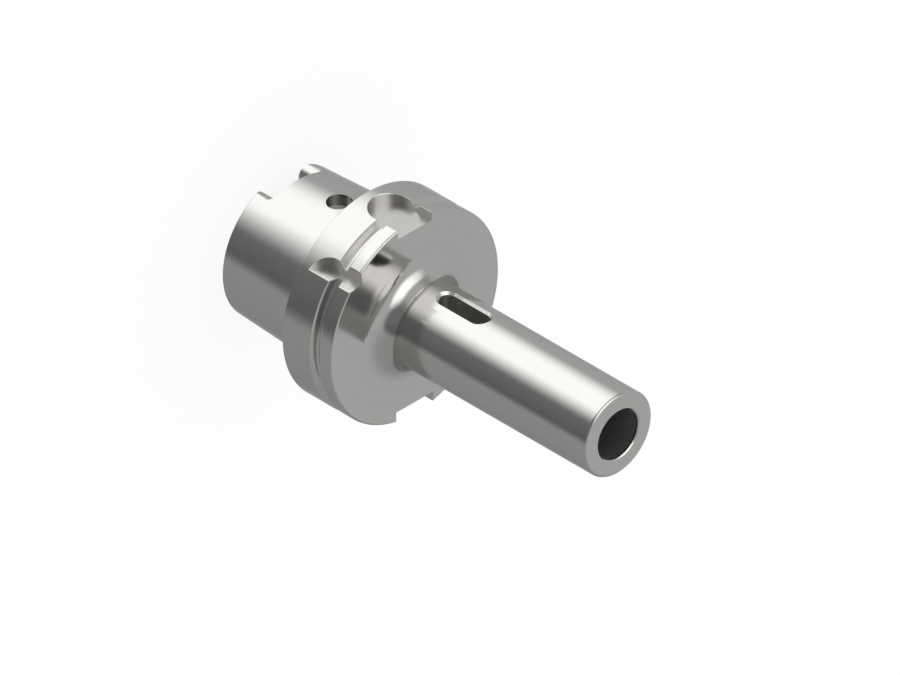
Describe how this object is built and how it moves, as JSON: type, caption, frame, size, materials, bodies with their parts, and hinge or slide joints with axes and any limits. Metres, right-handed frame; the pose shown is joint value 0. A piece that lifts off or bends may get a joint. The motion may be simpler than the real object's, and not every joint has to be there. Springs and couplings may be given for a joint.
{
  "type": "morse taper adapter",
  "caption": "Steel tool holder with a hollow taper shank, a slotted gripper flange and a long tube with a tapered socket and drift slot for tanged drill shanks.",
  "frame": {"origin": "on the axis, in the plane of the flange's ring face that seats on the spindle nose", "axes": "+Z along the axis towards the mouth of the socket; +X towards the narrow drive slot of the flange and the shallow keyway of the shank; +Y completes the right-handed frame"},
  "size_m": [0.1, 0.1, 0.2],
  "materials": {
    "ground_steel": "turned and ground, hardened, bright"
  },
  "bodies": {
    "root": {"adapter_body": "ground_steel"}
  },
  "joints": []
}
